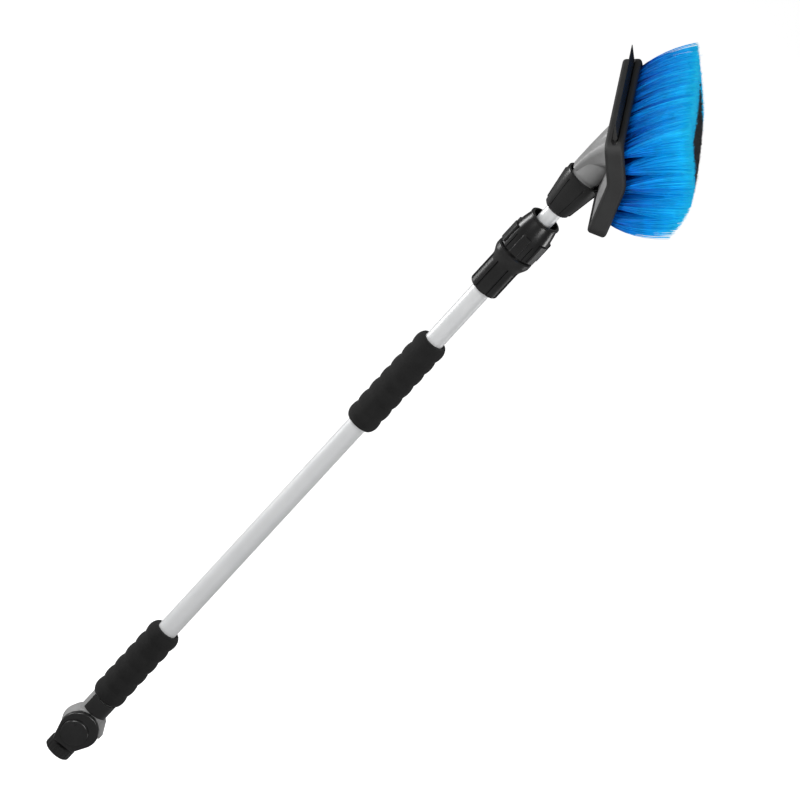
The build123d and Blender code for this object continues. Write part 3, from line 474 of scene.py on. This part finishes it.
def tuft_grid():
    """Cells of the outer tufts and of the core tufts."""
    rng = np.random.default_rng(TUFT_SEED)
    outer, core = [], []
    for row in range(ROWS):
        for column in range(COLUMNS):
            across = 2 * row / (ROWS - 1) - 1
            along = 2 * column / (COLUMNS - 1) - 1
            pinch = PINCH * max(0.0, 1 - column / PINCH_COLUMNS) * (1 - 2 * (row % 2))
            pinch += rng.normal(0, JITTER)
            in_rows = CORE_ROWS[0] <= row <= CORE_ROWS[1]
            in_columns = CORE_COLUMNS[0] <= column <= CORE_COLUMNS[1]
            (core if in_rows and in_columns else outer).append((across, along, pinch))
    return outer, core


outer_cells, core_cells = tuft_grid()
near_cells = [cell for cell in outer_cells if cell[1] < 0]
far_cells = [cell for cell in outer_cells if cell[1] >= 0]
near = bristle_piece("blue_bristles_near", near_cells, BLUE_TUFT, 11)
far = bristle_piece("blue_bristles_far", far_cells, BLUE_TUFT, 12)
core = bristle_piece("core_bristles", core_cells, CORE_TUFT, 13)
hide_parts("bristles_outer")
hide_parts("bristles_outer")
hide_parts("bristles_core")

# ---- floor, light and camera -------------------------------------------------------------------
# Lengths are in metres.  The floor and the room are brighter to the camera than to the object, so
# the background stays pale and the dark plastics stay dark.
FLOOR_SIZE = 60.0
FLOOR_DROP = 0.03
FLOOR_GLOW = 0.74
FLOOR_BOUNCE = 0.35
ROOM_LIGHT = 0.20


def floor_material():
    """White to the camera, with faint shadows, and dimmer to everything else."""
    m = Nodes("pale_floor")
    seen = m.add("ShaderNodeLightPath").outputs["Is Camera Ray"]
    glow = m.span(seen, 0.0, FLOOR_GLOW)
    paint = m.add("ShaderNodeMix", data_type="RGBA")
    m.link(seen, paint.inputs["Factor"])
    paint.inputs["A"].default_value = (*grey(FLOOR_BOUNCE), 1)
    m.link(m.ramp(m.noise(3, 2), [(0.3, grey(0.90)), (0.7, grey(0.93))]), paint.inputs["B"])
    m.set(Base_Color=paint.outputs["Result"], Roughness=0.9)
    m.set(Emission_Color=(1, 1, 1, 1), Emission_Strength=glow)
    return m.material


def floor():
    """Large level sheet a little below the object."""
    half = FLOOR_SIZE / 2
    low = cad_box[0][2] - FLOOR_DROP
    corners = [(-half, -half, low), (half, -half, low), (half, half, low), (-half, half, low)]
    mesh = bpy.data.meshes.new("floor")
    mesh.from_pydata(corners, [], [(0, 1, 2, 3)])
    mesh.materials.append(floor_material())
    sheet = bpy.data.objects.new("floor", mesh)
    bpy.context.collection.objects.link(sheet)


def studio_world():
    """White to the camera and a dimmer grey room to everything else."""
    world = bpy.data.worlds.new("studio")
    bpy.context.scene.world = world
    world.use_nodes = True
    tree = world.node_tree
    background = tree.nodes["Background"]
    background.inputs["Color"].default_value = (1, 1, 1, 1)
    path = tree.nodes.new("ShaderNodeLightPath")
    strength = tree.nodes.new("ShaderNodeMapRange")
    strength.inputs["To Min"].default_value = ROOM_LIGHT
    strength.inputs["To Max"].default_value = 1.0
    tree.links.new(path.outputs["Is Camera Ray"], strength.inputs["Value"])
    tree.links.new(strength.outputs["Result"], background.inputs["Strength"])


floor()
studio_world()

# The camera stands far off with a long lens, and is rolled so that the pole runs corner to corner.
CAMERA_AZIMUTH = math.radians(-12.1)
CAMERA_ELEVATION = math.radians(22.0)
CAMERA_ROLL = math.radians(42.69)
CAMERA_DISTANCE = 30.0
CAMERA_REACH = 200.0
SENSOR_WIDTH = 36.0
FRAME_WIDTH = 0.987                    # width of the view at LOOK_AT
LOOK_AT = Vector((0.0189, 0, 0.6562))

back = Vector((
    math.sin(CAMERA_AZIMUTH) * math.cos(CAMERA_ELEVATION),
    -math.cos(CAMERA_AZIMUTH) * math.cos(CAMERA_ELEVATION),
    math.sin(CAMERA_ELEVATION),
))
upright = (-back).to_track_quat("-Z", "Y").to_matrix().to_4x4()
camera_turn = upright @ Matrix.Rotation(CAMERA_ROLL, 4, "Z")


def place_camera():
    data = bpy.data.cameras.new("camera")
    data.sensor_width = SENSOR_WIDTH
    data.clip_end = CAMERA_REACH
    data.lens = SENSOR_WIDTH * CAMERA_DISTANCE / FRAME_WIDTH
    camera = bpy.data.objects.new("camera", data)
    bpy.context.collection.objects.link(camera)
    camera.matrix_world = Matrix.Translation(LOOK_AT + back * CAMERA_DISTANCE) @ camera_turn
    bpy.context.scene.camera = camera


def area_light(name, way, distance, size, power):
    """Soft rectangular lamp at a direction from LOOK_AT, in camera axes (right, up, towards)."""
    spot = LOOK_AT + camera_turn.to_3x3() @ Vector(way).normalized() * distance
    data = bpy.data.lights.new(name, "AREA")
    data.shape = "RECTANGLE"
    data.size, data.size_y = size
    data.energy = power
    lamp = bpy.data.objects.new(name, data)
    bpy.context.collection.objects.link(lamp)
    lamp.location = spot
    lamp.rotation_mode = "QUATERNION"
    lamp.rotation_quaternion = (LOOK_AT - spot).to_track_quat("-Z", "Y")


place_camera()

# Across the pole, left is (-0.74, 0.68) and right is (0.74, -0.68) in the picture.
area_light("key", (-0.25, 0.60, 1.0), 3.0, (1.4, 1.4), 50)
area_light("rim", (-0.74, 0.68, -0.20), 2.6, (0.9, 1.6), 48)
area_light("front", (0.50, -0.40, 1.0), 3.2, (1.2, 1.2), 44)
area_light("edge", (0.74, -0.68, -0.45), 3.0, (1.0, 1.0), 20)

bpy.context.scene.view_settings.view_transform = "Standard"
